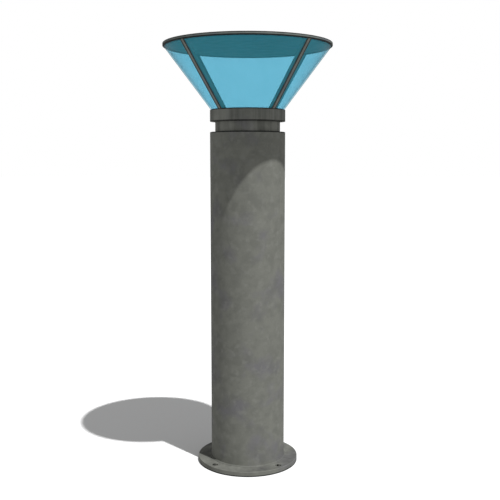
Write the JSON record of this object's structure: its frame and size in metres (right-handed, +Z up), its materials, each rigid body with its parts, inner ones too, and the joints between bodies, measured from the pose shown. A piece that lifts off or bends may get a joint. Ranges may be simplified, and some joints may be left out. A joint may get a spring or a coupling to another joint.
{
  "type": "bollard light",
  "caption": "Bollard light: round post on a bolt-down flange, recessed neck and collar, upturned cone of tinted clear panels between leaning ribs, thin round lid.",
  "frame": {"origin": "centre of the flange's underside, on the ground", "axes": "+Z up along the post, front towards -Y, ribs and bolt holes on the diagonals"},
  "size_m": [0.3969, 0.397, 1.0035],
  "materials": {
    "grey_paint": "matt weathered grey powder coat",
    "screw_steel": "plain stainless steel",
    "seal_rubber": "matt black rubber",
    "tinted_panel": "clear light blue polycarbonate",
    "lamp_cover": "lightly frosted clear cover",
    "bare_aluminium": "as cast",
    "board_white": "white solder mask",
    "led_phosphor": "yellow phosphor",
    "tray_steel": "galvanised sheet",
    "driver_case": "plain off-white case",
    "terminal_plastic": "plain grey moulding",
    "gland_plastic": "black nylon",
    "lead_sheath": "grey insulation",
    "earth_brass": "plain"
  },
  "bodies": {
    "post": {"base_flange": "grey_paint", "post_tube": "grey_paint", "base_weld": "grey_paint", "seat_ring": "grey_paint", "locking_boss": "grey_paint", "locking_screw": "screw_steel"},
    "head": {"neck": "grey_paint", "collar": "grey_paint", "rib_front_left": "grey_paint", "rib_front_right": "grey_paint", "rib_rear_right": "grey_paint", "rib_rear_left": "grey_paint", "lens_ring": "grey_paint", "collar_screws": "screw_steel", "rib_screws": "screw_steel", "heatsink_screws": "screw_steel", "board_screws": "screw_steel", "lens_ring_screws": "screw_steel", "tray_screws": "screw_steel", "driver_screws": "screw_steel", "terminal_screws": "screw_steel", "neck_gasket": "seal_rubber", "collar_seal": "seal_rubber", "lower_seal": "seal_rubber", "lens_seal": "seal_rubber", "panel_front": "tinted_panel", "panel_right": "tinted_panel", "panel_rear": "tinted_panel", "panel_left": "tinted_panel", "led_lens": "lamp_cover", "heatsink": "bare_aluminium", "led_board": "board_white", "led_chips": "led_phosphor", "gear_tray": "tray_steel", "led_driver": "driver_case", "terminal_block": "terminal_plastic", "cable_gland": "gland_plastic", "gland_nut": "gland_plastic", "led_lead": "lead_sheath", "mains_leads": "lead_sheath", "earth_stud": "earth_brass", "earth_nuts": "earth_brass"},
    "lid": {"lid": "grey_paint", "lid_gasket": "seal_rubber", "lid_screws": "screw_steel"}
  },
  "joints": [
    {"name": "head_lift", "type": "slide", "parent": "post", "child": "head", "axis": [0, 0, 1], "range_m": [0, 0.26]},
    {"name": "lid_lift", "type": "slide", "parent": "head", "child": "lid", "axis": [0, 0, 1], "range_m": [0, 0.08]}
  ]
}
